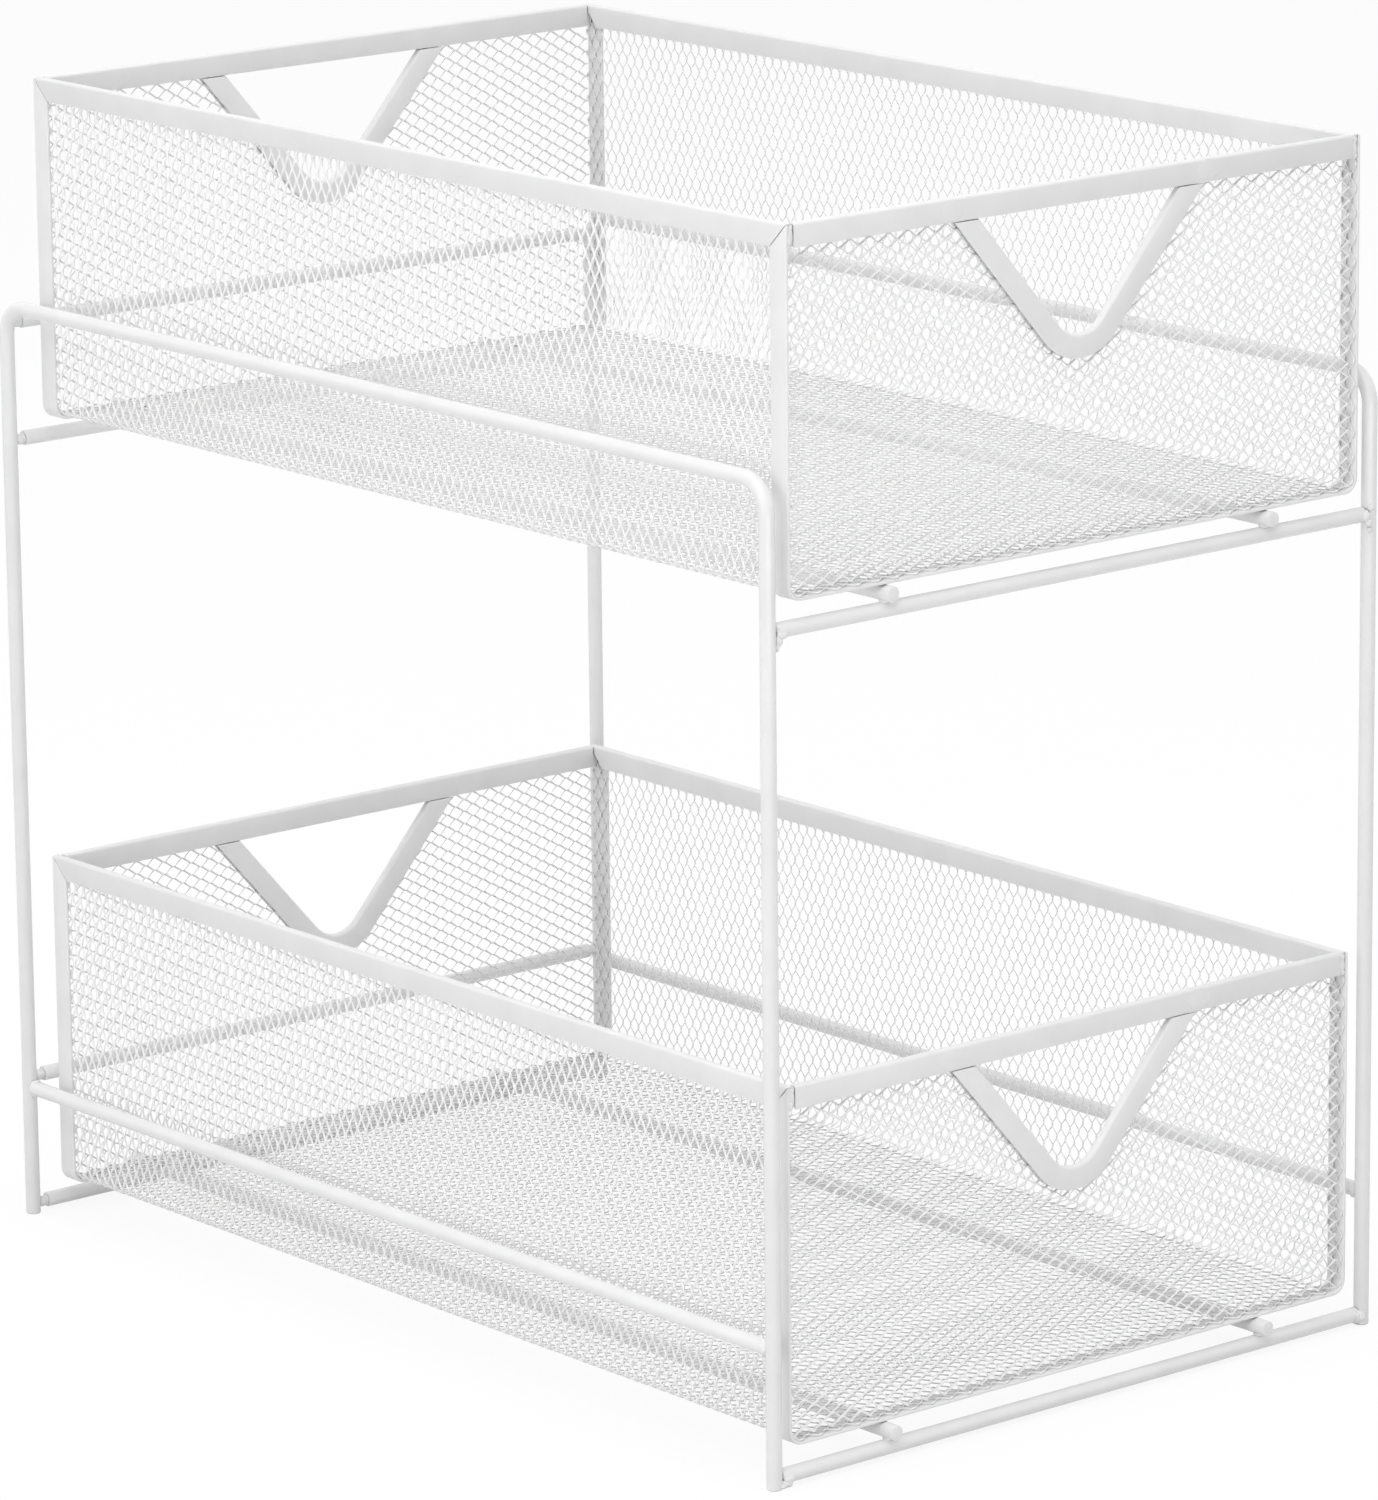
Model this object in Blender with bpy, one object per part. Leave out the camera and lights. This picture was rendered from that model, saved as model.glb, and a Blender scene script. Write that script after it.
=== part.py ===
"""Desk organizer: a stand of bent wire that carries two sliding baskets of expanded metal.

Lengths are in metres. +Z is up and the baskets slide out towards -Y.
The origin is on the ground under the middle of the stand.
"""

import math

import bmesh
import bpy
from mathutils import Matrix, Vector

# Clearances shared by all pieces
CONTACT_GAP = 0.0003            # left between pieces that touch
CUT_OVERRUN = 0.0020            # how far a cutter reaches past what it cuts

# Wire stand, measured between wire centres
WIRE_DIAMETER = 0.0050
STAND_WIDTH = 0.2515
STAND_DEPTH = 0.3910
LEG_BEND_RADIUS = 0.0105
LOWER_TIER_HEIGHT = 0.0036      # lower crossbars above the ground
UPPER_TIER_HEIGHT = 0.2700      # upper crossbars above the ground
TOP_BAR_RISE = 0.0460           # top bars above the upper crossbars
UPPER_STOP_RISE = 0.0400        # upper stop bar above the upper crossbars
LOWER_STOP_RISE = 0.0449        # lower stop bar above the lower crossbars
GUIDE_RISE = 0.0414             # lower side guides above the lower crossbars
RUNNER_INSET = 0.04625          # runners inward from the legs
RUNNER_OVERHANG = 0.0020        # runner ends past the crossbars

# Baskets
BASKET_SIDE_CLEARANCE = 0.00435  # basket to leg, each side
BASKET_END_ALLOWANCE = 0.0080   # stand depth less basket depth
BASKET_HEIGHT = 0.1150
UPPER_STOP_SPACE = 0.0072       # upper basket to its stop bar, at rest
LOWER_STOP_SPACE = 0.0050       # lower basket to its stop bar, at rest

# Flat strip that frames each basket
STRIP_WIDTH = 0.0075
STRIP_THICKNESS = 0.0009
HOOP_BEND_RADIUS = 0.0050       # outside of the bend
RIM_EDGE_RADIUS = 0.0012        # rounded fold along the top

# V strip under the rim at each end
HANDLE_TOP_WIDTH = 0.0934       # between the arms' centre lines, under the rim
HANDLE_BEND_RADIUS = 0.01575    # centre line of the bend
HANDLE_ARM_ANGLE = math.radians(41.5)   # arm from the vertical

# Expanded metal
NET_THICKNESS = 0.0007
NET_STRAND_WIDTH = 0.0024
NET_LONG_WAY = 0.0560           # length of a diamond
NET_SHORT_WAY = 0.0350          # width of a diamond

# Facets
WIRE_SIDES = 12
LEG_BEND_STEPS = 6
HOOP_BEND_STEPS = 6
NET_BEND_STEPS = 3
RIM_EDGE_STEPS = 4
HANDLE_BEND_STEPS = 10
SMOOTH_ANGLE = math.radians(40)

# Paint: colour, roughness, metallic
WIRE_PAINT = ((0.90, 0.90, 0.89, 1.0), 0.34, 0.0)
STRIP_PAINT = ((0.86, 0.86, 0.855, 1.0), 0.40, 0.0)
NET_PAINT = ((0.88, 0.88, 0.875, 1.0), 0.46, 0.0)

# Worked out from the sizes above
WIRE_RADIUS = WIRE_DIAMETER / 2
LEG_X = STAND_WIDTH / 2
LEG_Y = STAND_DEPTH / 2
TOP_BAR_HEIGHT = UPPER_TIER_HEIGHT + TOP_BAR_RISE
RUNNER_X = LEG_X - RUNNER_INSET
RUNNER_RISE = WIRE_DIAMETER + CONTACT_GAP
BASKET_RISE = RUNNER_RISE + WIRE_RADIUS + CONTACT_GAP
BASKET_WIDTH = STAND_WIDTH - WIRE_DIAMETER - 2 * BASKET_SIDE_CLEARANCE
BASKET_DEPTH = STAND_DEPTH - BASKET_END_ALLOWANCE
STOP_FACE_Y = LEG_Y - WIRE_RADIUS

# Layers of a basket wall, as distances inward from its outer face
NET_OUTER = STRIP_THICKNESS + CONTACT_GAP
NET_INNER = NET_OUTER + NET_THICKNESS
FOLD_INNER = NET_INNER + CONTACT_GAP
RIM_THICKNESS = FOLD_INNER + STRIP_THICKNESS
NET_TOP = BASKET_HEIGHT - NET_OUTER
RIM_LOWER_EDGE = BASKET_HEIGHT - STRIP_WIDTH
MITRE_OFFSET = CONTACT_GAP / math.sqrt(2)
HALF_WIDTH = BASKET_WIDTH / 2
HALF_DEPTH = BASKET_DEPTH / 2
END_HALF_WIDTH = HALF_WIDTH - RIM_THICKNESS - CONTACT_GAP


def clear_scene():
    for item in list(bpy.data.objects):
        bpy.data.objects.remove(item, do_unlink=True)


def make_paint(name, paint):
    colour, roughness, metallic = paint
    material = bpy.data.materials.new(name)
    material.use_nodes = True
    shader = material.node_tree.nodes["Principled BSDF"]
    shader.inputs["Base Color"].default_value = colour
    shader.inputs["Roughness"].default_value = roughness
    shader.inputs["Metallic"].default_value = metallic
    material.diffuse_color = colour
    return material


def finish_mesh(name, bm):
    """Close a bmesh into a mesh with outward faces and smooth round sides."""
    bmesh.ops.recalc_face_normals(bm, faces=bm.faces[:])
    mesh = bpy.data.meshes.new(name)
    bm.to_mesh(mesh)
    bm.free()
    mesh.shade_smooth()
    mesh.set_sharp_from_angle(angle=SMOOTH_ANGLE)
    mesh.materials.append(None)
    return mesh


def add_piece(name, mesh, paint, parent=None, location=(0, 0, 0), turned=False):
    """Place a mesh as a named piece; turned faces it the other way about Z."""
    piece = bpy.data.objects.new(name, mesh)
    bpy.context.collection.objects.link(piece)
    piece.material_slots[0].link = "OBJECT"
    piece.material_slots[0].material = make_paint(name + "_paint", paint)
    piece.location = location
    piece.rotation_euler.z = math.pi if turned else 0
    piece.parent = parent
    return piece


def loft(sections):
    """Join equal rings of points into a closed solid with flat ends."""
    bm = bmesh.new()
    rings = [[bm.verts.new(point) for point in section] for section in sections]
    count = len(rings[0])
    for near, far in zip(rings, rings[1:]):
        for k in range(count):
            following = (k + 1) % count
            bm.faces.new((near[k], near[following], far[following], far[k]))
    bm.faces.new(rings[0])
    bm.faces.new(reversed(rings[-1]))
    return bm


def arc(centre, radius, start, end, steps):
    """Points of an arc in a plane, from one angle to another."""
    points = []
    for k in range(steps + 1):
        angle = start + (end - start) * k / steps
        points.append((centre[0] + radius * math.cos(angle), centre[1] + radius * math.sin(angle)))
    return points


def wire(name, path, across):
    """Sweep the round wire along a flat path; across is square to the path's plane."""
    sections = []
    for k, point in enumerate(path):
        arriving = (point - path[max(k - 1, 0)]).normalized()
        leaving = (path[min(k + 1, len(path) - 1)] - point).normalized()
        tangent = (arriving + leaving).normalized()
        mitre = 1 / tangent.dot(arriving if k else leaving)
        inward = across.cross(tangent) * mitre
        ring = []
        for side in range(WIRE_SIDES):
            angle = 2 * math.pi * side / WIRE_SIDES
            ring.append(point + (across * math.cos(angle) + inward * math.sin(angle)) * WIRE_RADIUS)
        sections.append(ring)
    return finish_mesh(name, loft(sections))


def straight_wire(name, direction, length):
    """A wire centred on its own origin, along X or Y."""
    reach = Vector(direction) * length / 2
    return wire(name, [-reach, reach], Vector((0, 0, 1)))


def side_frame_mesh():
    """Two legs and the top bar of one side, bent from a single wire."""
    bend_y = LEG_Y - LEG_BEND_RADIUS
    bend_z = TOP_BAR_HEIGHT - LEG_BEND_RADIUS
    flat = [(-LEG_Y, 0)]
    flat += arc((-bend_y, bend_z), LEG_BEND_RADIUS, math.pi, math.pi / 2, LEG_BEND_STEPS)
    flat += arc((bend_y, bend_z), LEG_BEND_RADIUS, math.pi / 2, 0, LEG_BEND_STEPS)
    flat += [(LEG_Y, 0)]
    path = [Vector((0, y, z)) for y, z in flat]
    return wire("side_frame", path, Vector((1, 0, 0)))


def build_stand():
    """The wire stand: side frames, crossbars, runners, stops and guides."""
    side = side_frame_mesh()
    add_piece("left_side_frame", side, WIRE_PAINT, location=(-LEG_X, 0, 0))
    add_piece("right_side_frame", side, WIRE_PAINT, location=(LEG_X, 0, 0))

    bar = straight_wire("crossbar", (1, 0, 0), STAND_WIDTH - WIRE_DIAMETER - 2 * CONTACT_GAP)
    guide = straight_wire("guide", (0, 1, 0), STAND_DEPTH - WIRE_DIAMETER - 2 * CONTACT_GAP)
    runner = straight_wire("runner", (0, 1, 0), STAND_DEPTH + WIRE_DIAMETER + 2 * RUNNER_OVERHANG)

    tiers = {
        "lower": (LOWER_TIER_HEIGHT, LOWER_STOP_RISE),
        "upper": (UPPER_TIER_HEIGHT, UPPER_STOP_RISE),
    }
    for tier, (height, stop_rise) in tiers.items():
        add_piece(tier + "_front_crossbar", bar, WIRE_PAINT, location=(0, -LEG_Y, height))
        add_piece(tier + "_back_crossbar", bar, WIRE_PAINT, location=(0, LEG_Y, height))
        add_piece(tier + "_stop_bar", bar, WIRE_PAINT, location=(0, LEG_Y, height + stop_rise))
        runner_z = height + RUNNER_RISE
        add_piece(tier + "_left_runner", runner, WIRE_PAINT, location=(-RUNNER_X, 0, runner_z))
        add_piece(tier + "_right_runner", runner, WIRE_PAINT, location=(RUNNER_X, 0, runner_z))

    guide_z = LOWER_TIER_HEIGHT + GUIDE_RISE
    add_piece("lower_left_guide", guide, WIRE_PAINT, location=(-LEG_X, 0, guide_z))
    add_piece("lower_right_guide", guide, WIRE_PAINT, location=(LEG_X, 0, guide_z))


def hoop_mesh():
    """Flat strip bent to a U round one end of the basket, mitred under the side rims."""
    bend = (HALF_WIDTH - HOOP_BEND_RADIUS, HOOP_BEND_RADIUS)
    inner_radius = HOOP_BEND_RADIUS - STRIP_THICKNESS
    outer = arc(bend, HOOP_BEND_RADIUS, 0, -math.pi / 2, HOOP_BEND_STEPS)
    inner = arc(bend, inner_radius, 0, -math.pi / 2, HOOP_BEND_STEPS)
    pairs = list(zip(outer, inner))
    pairs += [((-xo, zo), (-xi, zi)) for (xo, zo), (xi, zi) in reversed(pairs)]

    face_y = -HALF_DEPTH
    edge_y = face_y + STRIP_WIDTH
    sections = []
    for (xo, zo), (xi, zi) in pairs:
        sections.append([(xo, face_y, zo), (xi, face_y, zi), (xi, edge_y, zi), (xo, edge_y, zo)])

    tip = BASKET_HEIGHT - MITRE_OFFSET
    root = tip - STRIP_WIDTH
    outside = HALF_WIDTH
    inside = HALF_WIDTH - STRIP_THICKNESS
    end = [(outside, face_y, tip), (inside, face_y, tip), (inside, edge_y, root), (outside, edge_y, root)]
    sections.insert(0, end)
    sections.append([(-x, y, z) for x, y, z in end])
    return finish_mesh("hoop", loft(sections))


def rim_profile():
    """Strip folded over the top edge of the net, as (distance inward, height) points."""
    top = BASKET_HEIGHT
    low = RIM_LOWER_EDGE
    round_z = top - RIM_EDGE_RADIUS
    outer_round = (RIM_EDGE_RADIUS, round_z)
    inner_round = (RIM_THICKNESS - RIM_EDGE_RADIUS, round_z)
    profile = [(0, low)]
    profile += arc(outer_round, RIM_EDGE_RADIUS, math.pi, math.pi / 2, RIM_EDGE_STEPS)
    profile += arc(inner_round, RIM_EDGE_RADIUS, math.pi / 2, 0, RIM_EDGE_STEPS)
    profile += [(RIM_THICKNESS, low), (FOLD_INNER, low)]
    profile += [(FOLD_INNER, top - STRIP_THICKNESS), (STRIP_THICKNESS, top - STRIP_THICKNESS)]
    profile += [(STRIP_THICKNESS, low)]
    return profile


def side_rim_mesh():
    """Rim along the right side, its ends mitred to meet the hoops."""
    near = []
    far = []
    for inward, z in rim_profile():
        reach = HALF_DEPTH - (BASKET_HEIGHT - z) - MITRE_OFFSET
        near.append((HALF_WIDTH - inward, -reach, z))
        far.append((HALF_WIDTH - inward, reach, z))
    return finish_mesh("side_rim", loft([near, far]))


def end_rim_mesh():
    """Rim across the front, butted between the side rims."""
    near = [(-END_HALF_WIDTH, inward - HALF_DEPTH, z) for inward, z in rim_profile()]
    far = [(-x, y, z) for x, y, z in near]
    return finish_mesh("end_rim", loft([near, far]))


def handle_curve(inset, top):
    """The V as (x, z) points from left to right, set in from the centre line and cut off level."""
    half_top = HANDLE_TOP_WIDTH / 2
    apex = RIM_LOWER_EDGE - half_top / math.tan(HANDLE_ARM_ANGLE)
    centre = (0, apex + HANDLE_BEND_RADIUS / math.sin(HANDLE_ARM_ANGLE))
    radius = HANDLE_BEND_RADIUS - inset
    start = HANDLE_ARM_ANGLE - math.pi
    points = arc(centre, radius, start, -HANDLE_ARM_ANGLE, HANDLE_BEND_STEPS)
    end_x = half_top + (top - RIM_LOWER_EDGE) * math.tan(HANDLE_ARM_ANGLE)
    end_x -= inset / math.cos(HANDLE_ARM_ANGLE)
    return [(-end_x, top)] + points + [(end_x, top)]


def handle_mesh():
    """Flat V strip in line with the rim's outer face."""
    face_y = -HALF_DEPTH
    back_y = face_y + STRIP_THICKNESS
    top = RIM_LOWER_EDGE - CONTACT_GAP
    outer = handle_curve(-STRIP_WIDTH / 2, top)
    inner = handle_curve(STRIP_WIDTH / 2, top)
    sections = []
    for (xo, zo), (xi, zi) in zip(outer, inner):
        sections.append([(xo, face_y, zo), (xi, face_y, zi), (xi, back_y, zi), (xo, back_y, zo)])
    return finish_mesh("handle", loft(sections))


def net_steps(length, diamond):
    """Half diamonds along a length, always an even number."""
    return 2 * max(1, round(length / diamond))


def diamond_net(size_u, size_v, steps_u, steps_v):
    """Flat expanded metal from the origin: bonds on every other grid point, strands between."""
    step_u = size_u / steps_u
    step_v = size_v / steps_v
    slant = math.hypot(step_u, step_v)
    reach_u = NET_STRAND_WIDTH / 2 * slant / step_v
    reach_v = NET_STRAND_WIDTH / 2 * slant / step_u
    bm = bmesh.new()

    def add_bond(i, j):
        u = i * step_u
        v = j * step_v
        ways = {
            "right": (i < steps_u, (u + reach_u, v, 0)),
            "up": (j < steps_v, (u, v + reach_v, 0)),
            "left": (i > 0, (u - reach_u, v, 0)),
            "down": (j > 0, (u, v - reach_v, 0)),
        }
        bond = {way: bm.verts.new(point) for way, (kept, point) in ways.items() if kept}
        outline = list(bond.values())
        if len(outline) == 2:
            outline.append(bm.verts.new((u, v, 0)))
        bm.faces.new(outline)
        return bond

    bonds = {}
    for i in range(steps_u + 1):
        for j in range(steps_v + 1):
            if (i + j) % 2 == 0:
                bonds[i, j] = add_bond(i, j)

    for (i, j), low in bonds.items():
        rising = bonds.get((i + 1, j + 1))
        falling = bonds.get((i + 1, j - 1))
        if rising:
            bm.faces.new((low["right"], rising["down"], rising["left"], low["up"]))
        if falling:
            bm.faces.new((low["down"], falling["left"], falling["up"], low["right"]))

    raised = bmesh.ops.extrude_face_region(bm, geom=bm.faces[:])
    moved = [item for item in raised["geom"] if isinstance(item, bmesh.types.BMVert)]
    bmesh.ops.translate(bm, verts=moved, vec=(0, 0, NET_THICKNESS))
    return bm


def floor_net_mesh():
    """Net of the floor, between the folds of the side nets."""
    width = 2 * (HALF_WIDTH - HOOP_BEND_RADIUS - CONTACT_GAP)
    steps_x = net_steps(width, NET_LONG_WAY)
    steps_y = net_steps(BASKET_DEPTH, NET_SHORT_WAY)
    bm = diamond_net(width, BASKET_DEPTH, steps_x, steps_y)
    bmesh.ops.translate(bm, verts=bm.verts[:], vec=(-width / 2, -HALF_DEPTH, NET_OUTER))
    return finish_mesh("floor_net", bm)


def side_net_mesh():
    """Net of the right side, folded under at the bottom inside the hoops' bend."""
    inner_radius = HOOP_BEND_RADIUS - NET_INNER
    bend_length = (inner_radius + NET_THICKNESS / 2) * math.pi / 2
    wall_height = NET_TOP - HOOP_BEND_RADIUS
    length = bend_length + wall_height
    steps_y = net_steps(BASKET_DEPTH, NET_SHORT_WAY)
    steps_up = net_steps(length, NET_LONG_WAY)
    bm = diamond_net(BASKET_DEPTH, length, steps_y, steps_up)

    for k in range(1, NET_BEND_STEPS + 1):
        crease = (0, bend_length * k / NET_BEND_STEPS, 0)
        everything = bm.verts[:] + bm.edges[:] + bm.faces[:]
        bmesh.ops.bisect_plane(bm, geom=everything, plane_co=crease, plane_no=(0, 1, 0), dist=0)

    bend_x = HALF_WIDTH - HOOP_BEND_RADIUS
    for vert in bm.verts:
        along, up, layer = vert.co
        radius = inner_radius + layer
        turn = min(up / bend_length, 1) * math.pi / 2
        straight = max(up - bend_length, 0)
        x = bend_x + radius * math.sin(turn)
        z = HOOP_BEND_RADIUS - radius * math.cos(turn) + straight
        vert.co = (x, along - HALF_DEPTH, z)
    return finish_mesh("side_net", bm)


def end_net_sheet():
    """The whole end net before its notch is cut, with the height of one half diamond."""
    bottom = NET_INNER + CONTACT_GAP
    half_width = HALF_WIDTH - NET_INNER - CONTACT_GAP
    height = NET_TOP - bottom
    steps_x = net_steps(2 * half_width, NET_LONG_WAY)
    steps_z = net_steps(height, NET_SHORT_WAY)
    bm = diamond_net(2 * half_width, height, steps_x, steps_z)
    upright = Matrix.Rotation(math.pi / 2, 4, "X")
    shift = Matrix.Translation((-half_width, NET_INNER - HALF_DEPTH, bottom))
    bmesh.ops.transform(bm, matrix=shift @ upright, verts=bm.verts[:])
    return finish_mesh("end_net_sheet", bm), height / steps_z


def end_net_cut(name, sheet, outline):
    """Cut a piece of the end net to an outline of (x, z) points."""
    near_y = -HALF_DEPTH + NET_OUTER - CUT_OVERRUN
    far_y = -HALF_DEPTH + NET_INNER + CUT_OVERRUN
    cutter_mesh = finish_mesh(name + "_cutter", loft([[(x, y, z) for x, z in outline] for y in (near_y, far_y)]))
    cutter = bpy.data.objects.new(name + "_cutter", cutter_mesh)
    blank = bpy.data.objects.new(name + "_blank", sheet)
    for item in (cutter, blank):
        bpy.context.collection.objects.link(item)
    cut = blank.modifiers.new("outline", "BOOLEAN")
    cut.operation = "INTERSECT"
    cut.solver = "EXACT"
    cut.object = cutter
    view = bpy.context.evaluated_depsgraph_get()
    mesh = bpy.data.meshes.new_from_object(blank.evaluated_get(view))
    for item in (cutter, blank):
        bpy.data.objects.remove(item, do_unlink=True)
    mesh.name = name
    return mesh


def end_net_meshes():
    """The end net in three: below the handle, and left and right of it."""
    sheet, row = end_net_sheet()
    bottom = NET_INNER + CONTACT_GAP
    half_width = HALF_WIDTH - NET_INNER - CONTACT_GAP
    corner_radius = HOOP_BEND_RADIUS - bottom
    corner = (half_width - corner_radius, bottom + corner_radius)

    handle_bottom = min(z for x, z in handle_curve(-STRIP_WIDTH / 2, RIM_LOWER_EDGE))
    split = bottom + row * math.floor((handle_bottom - bottom) / row)
    below = split - CONTACT_GAP / 2
    above = split + CONTACT_GAP / 2

    right_corner = arc(corner, corner_radius, -math.pi / 2, 0, HOOP_BEND_STEPS)
    low = right_corner + [(half_width, below), (-half_width, below)]
    low += [(-x, z) for x, z in reversed(right_corner)]

    curve = [(x, z) for x, z in handle_curve(0, NET_TOP) if x > CONTACT_GAP]
    notch_z = RIM_LOWER_EDGE - CONTACT_GAP
    middle = CONTACT_GAP / 2
    right = [(half_width, above), (half_width, notch_z), (END_HALF_WIDTH, notch_z)]
    right += [(END_HALF_WIDTH, NET_TOP)] + list(reversed(curve))
    right += [(middle, curve[0][1]), (middle, above)]
    left = [(-x, z) for x, z in reversed(right)]
    return {
        "low": end_net_cut("end_net_low", sheet, low),
        "left": end_net_cut("end_net_left", sheet, left),
        "right": end_net_cut("end_net_right", sheet, right),
    }


def basket_meshes():
    """The shapes that both baskets share."""
    meshes = {
        "floor": floor_net_mesh(),
        "side": side_net_mesh(),
        "hoop": hoop_mesh(),
        "side_rim": side_rim_mesh(),
        "end_rim": end_rim_mesh(),
        "handle": handle_mesh(),
    }
    meshes.update(end_net_meshes())
    return meshes


def build_basket(name, meshes, tier_height, stop_space):
    """One basket on its slide; back pieces are front pieces turned about."""
    slide = bpy.data.objects.new(name + "_slide", None)
    bpy.context.collection.objects.link(slide)
    slide.location = (0, STOP_FACE_Y - stop_space - HALF_DEPTH, tier_height + BASKET_RISE)

    pieces = [
        ("floor_mesh", "floor", NET_PAINT, False),
        ("right_mesh", "side", NET_PAINT, False),
        ("left_mesh", "side", NET_PAINT, True),
        ("front_mesh_low", "low", NET_PAINT, False),
        ("front_mesh_left", "left", NET_PAINT, False),
        ("front_mesh_right", "right", NET_PAINT, False),
        ("back_mesh_low", "low", NET_PAINT, True),
        ("back_mesh_left", "right", NET_PAINT, True),
        ("back_mesh_right", "left", NET_PAINT, True),
        ("front_hoop", "hoop", STRIP_PAINT, False),
        ("back_hoop", "hoop", STRIP_PAINT, True),
        ("right_rim", "side_rim", STRIP_PAINT, False),
        ("left_rim", "side_rim", STRIP_PAINT, True),
        ("front_rim", "end_rim", STRIP_PAINT, False),
        ("back_rim", "end_rim", STRIP_PAINT, True),
        ("front_handle", "handle", STRIP_PAINT, False),
        ("back_handle", "handle", STRIP_PAINT, True),
    ]
    for piece, shape, paint, turned in pieces:
        add_piece(name + "_" + piece, meshes[shape], paint, parent=slide, turned=turned)


def main():
    clear_scene()
    build_stand()
    meshes = basket_meshes()
    build_basket("lower_basket", meshes, LOWER_TIER_HEIGHT, LOWER_STOP_SPACE)
    build_basket("upper_basket", meshes, UPPER_TIER_HEIGHT, UPPER_STOP_SPACE)


main()
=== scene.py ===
"""Looks of the mesh desk organizer: round wires, folded strips, fine expanded metal, welds, paint and studio.

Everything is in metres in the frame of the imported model: +Z up, baskets slide towards -Y.
"""

import math

import bmesh
import bpy
import numpy as np
from mathutils import Matrix, Vector, noise


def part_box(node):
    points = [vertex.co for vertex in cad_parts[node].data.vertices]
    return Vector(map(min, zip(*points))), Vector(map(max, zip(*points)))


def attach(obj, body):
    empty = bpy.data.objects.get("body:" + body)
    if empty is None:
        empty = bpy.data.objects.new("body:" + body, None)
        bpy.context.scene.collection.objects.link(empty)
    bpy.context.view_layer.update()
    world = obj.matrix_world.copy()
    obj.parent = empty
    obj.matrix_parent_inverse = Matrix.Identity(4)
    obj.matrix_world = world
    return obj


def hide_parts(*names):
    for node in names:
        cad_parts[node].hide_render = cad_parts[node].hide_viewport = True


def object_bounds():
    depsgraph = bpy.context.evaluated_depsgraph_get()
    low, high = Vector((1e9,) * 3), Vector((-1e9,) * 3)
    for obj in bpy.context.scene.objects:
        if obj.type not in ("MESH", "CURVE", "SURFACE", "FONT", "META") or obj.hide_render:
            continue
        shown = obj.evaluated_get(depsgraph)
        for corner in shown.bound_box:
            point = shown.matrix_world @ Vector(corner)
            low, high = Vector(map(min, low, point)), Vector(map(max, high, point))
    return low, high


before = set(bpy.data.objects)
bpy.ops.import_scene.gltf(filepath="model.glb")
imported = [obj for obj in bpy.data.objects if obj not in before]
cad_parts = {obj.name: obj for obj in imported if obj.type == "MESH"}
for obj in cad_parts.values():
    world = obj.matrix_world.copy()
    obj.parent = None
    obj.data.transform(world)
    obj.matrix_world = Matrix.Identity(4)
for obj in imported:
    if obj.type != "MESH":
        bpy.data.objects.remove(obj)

CAD_LOW, CAD_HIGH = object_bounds()
BASKETS = ("lower_basket", "upper_basket")
TIERS = ("lower", "upper")
SIDE_SIGNS = {"left": -1, "right": 1}

# Round wire
LEG_BEND_RADIUS = 0.0105
LEG_BEND_STEPS = 16
WIRE_SIDES = 32
WIRE_END_BEVEL = 0.0004
WIRE_END_STEPS = 3
WIRE_CREASE = math.radians(30)

# Welds of the bars, in millimetres: each lump's place (along the bar from its end, forward, up) and radii
MILLIMETRE = 0.001
HANGING_LEFT = (((1.6, 0.9, -1.2), (2.1, 2.0, 1.5)), ((0.6, 0.7, -3.0), (1.3, 1.6, 2.2)),
                ((0.0, 0.9, -5.0), (0.8, 1.0, 1.4)), ((0.3, 0.2, 0.4), (0.9, 2.1, 2.1)))
HANGING_RIGHT = (((-1.7, 2.2, 2.4), (1.4, 0.9, 1.1)), ((0.3, 1.5, -0.2), (1.9, 1.7, 1.9)),
                 ((-0.8, 2.0, -2.4), (1.4, 1.2, 1.5)), ((-1.2, 2.1, -4.8), (0.8, 0.8, 1.0)))
FOOT_LEFT = (((1.7, 1.7, -0.6), (2.1, 1.4, 1.3)), ((0.9, 0.9, -2.1), (2.8, 1.9, 1.5)),
             ((-0.4, 1.2, -2.6), (1.8, 1.6, 1.0)), ((0.2, 0.2, 0.3), (0.9, 2.2, 2.0)))
FOOT_RIGHT = (((-0.9, 1.5, -0.6), (2.0, 1.9, 2.2)), ((0.6, 0.6, -0.4), (1.5, 2.1, 2.3)),
              ((-1.6, 1.4, -2.6), (1.9, 1.5, 1.0)))
NECK = (((0.9, 0.0, -0.2), (1.9, 1.8, 1.8)), ((2.2, 0.0, -0.1), (0.7, 1.9, 1.9)))
NECKED_BARS = ("lower_back_crossbar", "upper_back_crossbar", "lower_stop_bar", "upper_stop_bar")
NECK_LENGTH = 0.0026             # bare weld between a leg and the square end of a back bar
BEADS = {bar: (NECK, NECK) for bar in NECKED_BARS}
BEADS["lower_front_crossbar"] = (FOOT_LEFT, FOOT_RIGHT)
BEADS["upper_front_crossbar"] = (HANGING_LEFT, HANGING_RIGHT)

# Other welds of the stand
GUIDE_WELD_RADII = (0.0025, 0.0019, 0.0029)
GUIDE_WELD_SHIFT = 0.0006        # along the guide from its end
CROSSING_WELD_RADII = (0.0018, 0.0017, 0.0010)

# Welds of a basket, as places and radii
CORNER_BEAD = (                  # inward from the side, back from the end, down from the top
    ((0.0021, 0.0013, 0.0042), (0.0017, 0.0011, 0.0034)),
    ((0.0020, 0.0013, 0.0015), (0.0016, 0.0011, 0.0014)),
    ((0.0016, 0.0011, 0.0068), (0.0010, 0.0009, 0.0012)),
)
RIM_MARK = ((0.0659, 0.0, 0.0038), (0.0046, 0.00022, 0.0033))
CORNER_BEAD_GAP = 0.00005        # keeps these welds below the rims' tops

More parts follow.
